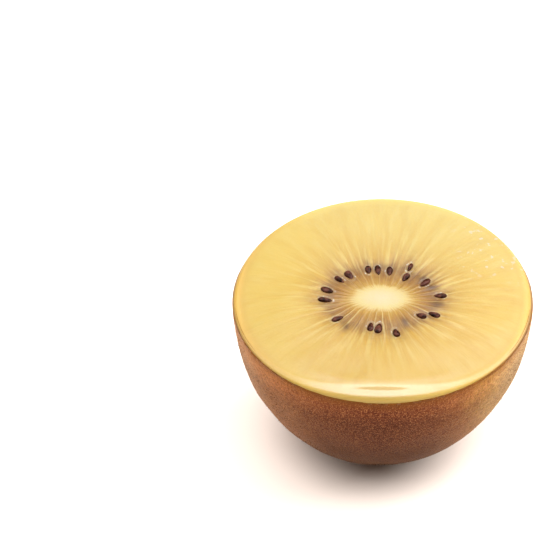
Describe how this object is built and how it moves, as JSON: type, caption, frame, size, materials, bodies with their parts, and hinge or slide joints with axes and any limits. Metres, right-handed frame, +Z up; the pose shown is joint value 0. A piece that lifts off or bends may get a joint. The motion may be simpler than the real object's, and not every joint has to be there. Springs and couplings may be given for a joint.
{
  "type": "golden kiwi fruit half",
  "caption": "Half of a golden kiwi fruit, cut across its middle: brown skin outside, a gold cut face with a pale oval core ringed by seeds, standing on a small flat spot at its stem end.",
  "frame": {"origin": "on the surface that the half fruit stands on, under the middle of the cut face", "axes": "+Z up along the fruit's axis, from the stem end to the cut face; +X along the wider way of the oval section; +Y along the narrower way, away from the picture's camera"},
  "size_m": [0.054, 0.0508, 0.0358],
  "materials": {
    "flesh": "wet, glossy and translucent golden flesh",
    "skin": "matte brown skin with fine fuzz and pale specks",
    "seed": "glossy, nearly black brown",
    "scar": "dry woody stem scar"
  },
  "bodies": {
    "root": {"kiwi_half": "flesh"}
  },
  "joints": []
}
